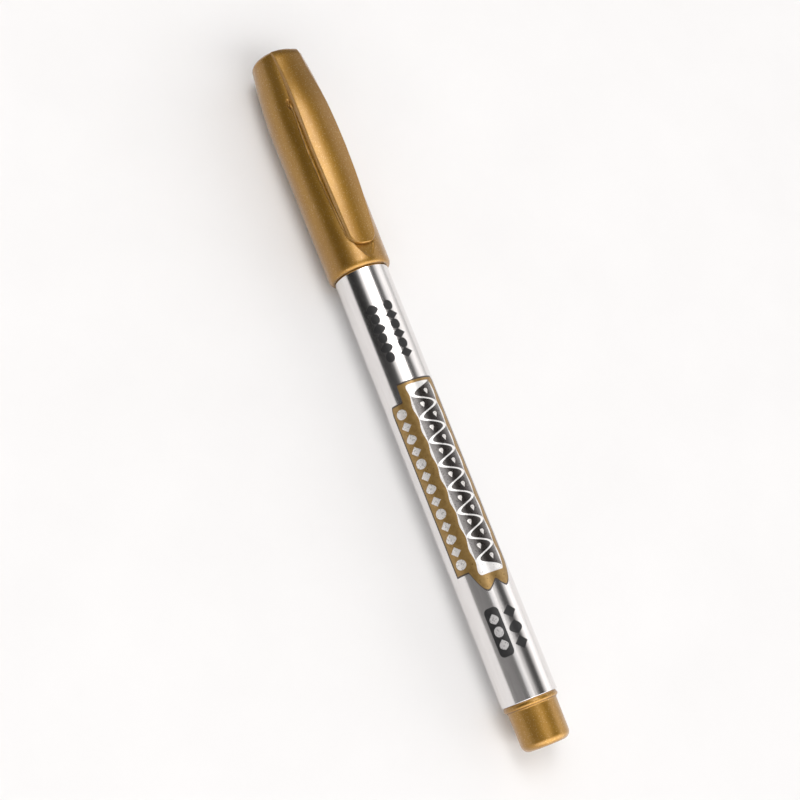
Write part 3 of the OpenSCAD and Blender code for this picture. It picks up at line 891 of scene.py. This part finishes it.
def make_print():
    """Generic ornament in the places of the real pen's print: no letters or marks."""
    front, rear, half_long = 83.85, 74.25, 1.0      # the two lines nearest the cap
    near = figures((("leaf", 12.5), ("disc", 9)), 6, front, rear, half_long, -35.4)
    far = figures((("disc", 10), ("lozenge", 14)), 6, front, rear, half_long, 0)
    tail = figures((("lozenge", 14), ("leaf", 14)), 3, 23.8, 18.1, 1.25, -1.5)
    left, right = rounded_ends(PILL_LOW, PILL_HIGH, PILL_MIDDLE, lambda a, sign: PILL_HALF,
                               end=1.0, corner=0.55 * PILL_HALF)
    pill_shape = across(PILL_LOW, PILL_HIGH, left, right, rows=60, columns=16)
    black = printed("print_black", [*near, *far, pill_shape, *tail], 2)
    light = printed("print_light", figures((("leaf", 9), ("disc", 9)), 3, 23.4, 18.7, 0.95,
                                           PILL_MIDDLE), 3)

    outline, border = 0.3, 3.3      # the plate's dark edge, lengthwise in mm and across in degrees
    edge = printed("plate_edge", [
        lengthwise(PLATE_LEFT, PLATE_RIGHT, plate_low, plate_high)], 1)
    plate = printed("plate", [lengthwise(
        PLATE_LEFT + border, PLATE_RIGHT - border,
        lambda a: plate_low(a, outline), lambda a: plate_high(a, outline))], 2)

    left, right = rounded_ends(GROUND_LOW, GROUND_HIGH, WAVE_MIDDLE,
                               lambda a, sign: LEAF_WIDE + 3.2 + 1.7 * sign * wave(a),
                               end=1.2, corner=6)
    ground = printed("plate_ground", [
        across(GROUND_LOW, GROUND_HIGH, left, right, rows=320, columns=24)], 3)
    leaves, veins = [], []
    for i in range(8):
        for side, shift in ((1, 0), (-1, WAVE / 2)):
            middle = WAVE_START - i * WAVE - shift
            if middle > LAST_LEAF:
                leaves.append(border_leaf(middle, side))
                veins.append(figure("drop", middle, 0.55, WAVE_MIDDLE + side * 9, 6.5))
    dark = printed("print_bold", leaves, 4)
    strip = figures((("disc", 11.5), ("lozenge", 11.5), ("leaf", 11.5), ("lozenge", 11.5)), 13,
                    63.6, 34.4, 0.95, -58)
    silver = printed("print_silver", strip + veins, 5)
    return black, light, edge, plate, ground, dark, silver


# ---------------------------------------------------------------- the pen

def paint(material, *objects):
    """Gives objects this material and no other."""
    for obj in objects:
        obj.data.materials.clear()
        obj.data.materials.append(material)


def piece(obj, material, body, replaced=()):
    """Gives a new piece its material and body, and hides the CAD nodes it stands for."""
    paint(material, obj)
    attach(obj, body)
    if replaced:
        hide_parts(*replaced)


def make_pen():
    """Every piece, and every CAD node that stays, with its material."""
    gold = gold_plastic()
    natural = natural_plastic()
    felt = (0.83, 0.79, 0.68)
    paint_gold = (0.50, 0.30, 0.07)
    nib_tip = node_along("nib")[1]

    piece(make_cap(), gold, "cap", ["cap_shell"])
    piece(make_barrel(), barrel_metal(), "barrel", ["barrel_tube"])
    piece(make_plug(), gold, "barrel", ["tail_plug"])
    piece(make_section(), gold, "barrel", ["grip_section"])
    piece(make_nose(), natural, "barrel", ["nose_cone"])
    nib_fibre = fibre("nib_fibre", felt, paint_gold, nib_tip - 6, nib_tip - 4.4)
    piece(make_nib(), nib_fibre, "nib", ["nib"])

    clip = make_clip()
    paint(gold, clip)
    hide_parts("pocket_clip")
    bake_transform(clip)

    spring = make_spring()
    wire = steel("spring_steel", 0.22, 0.36, (0.62, 0.63, 0.65))
    piece(spring, wire, "barrel", ["valve_spring"])
    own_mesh(spring)

    black, light, edge, plate, ground, dark, silver = make_print()
    for obj, material in (
            (black, ink("ink_black", (0.008, 0.008, 0.009), (0.02, 0.019, 0.019))),
            (light, ink("ink_light", (0.55, 0.54, 0.54), (0.62, 0.61, 0.61), 0.4, 0.3, 0.03)),
            (edge, ink("ink_line", (0.03, 0.022, 0.018), (0.06, 0.045, 0.035))),
            (plate, ink("ink_gold", (0.25, 0.148, 0.040), (0.36, 0.225, 0.075), 0.6, 0.34)),
            (ground, ink("ink_ground", (0.72, 0.71, 0.70), (0.84, 0.83, 0.82), 0.35, 0.32)),
            (dark, bold_ink()),
            (silver, ink("ink_silver", (0.64, 0.62, 0.60), (0.72, 0.70, 0.68), 0.4, 0.3, 0.03))):
        piece(obj, material, "barrel")

    for node in ("section_gasket", "valve_cage", "nib_collar", "valve_plunger", "inner_cap"):
        paint(natural, NODES[node])
    paint(fibre("absorber_fibre", (0.86, 0.83, 0.75), paint_gold), NODES["ink_absorber"])
    paint(seal_rubber(), NODES["valve_seat"])
    ball = steel("ball_steel", 0.06, 0.14, (0.66, 0.67, 0.69))
    paint(ball, NODES["mixing_ball_1"], NODES["mixing_ball_2"])


# ---------------------------------------------------------------- studio

def floor_material():
    """White paper."""
    s = Shader("floor_paper", roughness=0.75, Specular_IOR_Level=0.2)
    s.set("Base Color", s.ramp(s.noise(40, detail=4), [(0.3, 0.79), (0.7, 0.81)]))
    s.set("Normal", s.bump(s.noise(900, detail=3), 0.05, 0.00005))
    return s.material


def softbox(name, middle, towards, length, width, radiance):
    """Rectangular area light, long in X, at a brightness per unit of its area."""
    light = bpy.data.lights.new(name, "AREA")
    light.shape = "RECTANGLE"
    light.size, light.size_y = length, width
    light.energy = radiance * math.pi * length * width
    obj = bpy.data.objects.new(name, light)
    bpy.context.scene.collection.objects.link(obj)
    right = Vector((1, 0, 0))
    back = (Vector(middle) - Vector(towards)).normalized()
    turn = Matrix((right, back.cross(right).normalized(), back)).transposed().to_4x4()
    obj.matrix_world = Matrix.Translation(middle) @ turn


SKY_PEAK = 6.0                  # the world's strength, and its brightest light
WARM = (1.0, 0.98, 0.972)       # colour of its light
CAP_END_LIGHT, TAIL_END_LIGHT = 0.18, 2.9       # brightness beyond either end of the pen
# Brightness of the studio in a plane across the pen, as (angle from straight up, towards the
# far side, brightness): at the pen's front end, and at its rear end
FRONT_SKY = [
    (-90, 0.04), (-78, 0.02), (-63, 0.02), (-52, 0.04), (-42, 0.12), (-34, 0.9), (-24, 1.6),
    (-16, 3.0), (-9, 5.4), (5, 5.4), (9, 1.7), (13, 0.3), (17, 0.12), (24, 0.08), (32, 0.2),
    (42, 0.95), (52, 1.3), (66, 1.2), (77, 0.7), (90, 0.6)]
REAR_SKY = [
    (-90, 0.30), (-74, 0.24), (-61, 0.25), (-49, 0.23), (-36, 0.17), (-27, 0.17), (-20, 0.3),
    (-12, 0.55), (-4, 0.7), (6, 0.55), (15, 0.12), (24, 0.06), (36, 0.06), (44, 0.6), (56, 1.4),
    (70, 1.4), (90, 0.8)]


def warm(level):
    """The world's colour at a brightness, as a share of its peak."""
    return tuple(w * level / SKY_PEAK for w in WARM)


def sky(stops):
    """Ramp stops for light that comes from an angle either side of straight up."""
    return [((angle + 90) / 180, warm(level)) for angle, level in stops]


def make_studio():
    """A floor, a softbox overhead and a world that is lit unevenly round the pen."""
    mesh = bpy.data.meshes.new("floor")
    half = 3.0
    mesh.from_pydata([(-half, -half, 0), (half, -half, 0), (half, half, 0), (-half, half, 0)],
                     [], [(0, 1, 2, 3)])
    floor = bpy.data.objects.new("floor", mesh)
    bpy.context.scene.collection.objects.link(floor)
    paint(floor_material(), floor)

    softbox("overhead", (-0.1, -0.12, 0.5), (-0.1, -0.12, 0), 1.6, 0.2, 0.4)

    world = bpy.data.worlds.new("studio")
    bpy.context.scene.world = world
    world.use_nodes = True
    n = Nodes(world.node_tree)
    background = n.tree.nodes["Background"]
    direction = n.node("ShaderNodeTexCoord").outputs["Generated"]
    x, y, z = n.node("ShaderNodeSeparateXYZ", {0: direction}).outputs[:3]
    turn = n.share(n.math("ARCTAN2", y, z), -math.pi / 2, math.pi / 2)
    light = n.blend(n.share(x, -0.28, 0.0), n.ramp(turn, sky(FRONT_SKY)),
                    n.ramp(turn, sky(REAR_SKY)))
    light = n.blend(n.share(x, -0.42, -0.75), light, warm(CAP_END_LIGHT))
    light = n.blend(n.share(x, 0.42, 0.6), light, warm(TAIL_END_LIGHT))
    n.feed(background.inputs["Color"], light)
    background.inputs["Strength"].default_value = SKY_PEAK


def make_camera():
    """Looks down on the pen from its own left, tipped a little towards the tail."""
    rise, tilt, roll = (math.radians(a) for a in (60.5, 12.2, 21.6))
    distance, focal, sensor = 0.27, 65.65, 36
    aim_x, aim_shift = 0.00246, 0.0018      # frames the pen as in the photo
    s, c = math.sin(rise), math.cos(rise)
    back = Vector((math.sin(tilt), -math.cos(tilt) * c, math.cos(tilt) * s))
    # The picture's right and up, but for the roll
    level = Vector((0, s, c))
    upright = Vector((-math.cos(tilt), -math.sin(tilt) * c, math.sin(tilt) * s))
    up = math.cos(roll) * upright + math.sin(roll) * level
    right = math.cos(roll) * level - math.sin(roll) * upright
    aim = Vector((aim_x, 0, AXIS_Z)) - aim_shift * level
    camera = bpy.data.cameras.new("camera")
    camera.sensor_width = sensor
    camera.lens = focal
    camera.clip_start = 0.01
    obj = bpy.data.objects.new("camera", camera)
    bpy.context.scene.collection.objects.link(obj)
    turn = Matrix((right, up, back)).transposed().to_4x4()
    obj.matrix_world = Matrix.Translation(aim + distance * back) @ turn
    bpy.context.scene.camera = obj


make_pen()
make_studio()
make_camera()
bpy.context.scene.view_settings.view_transform = "Standard"
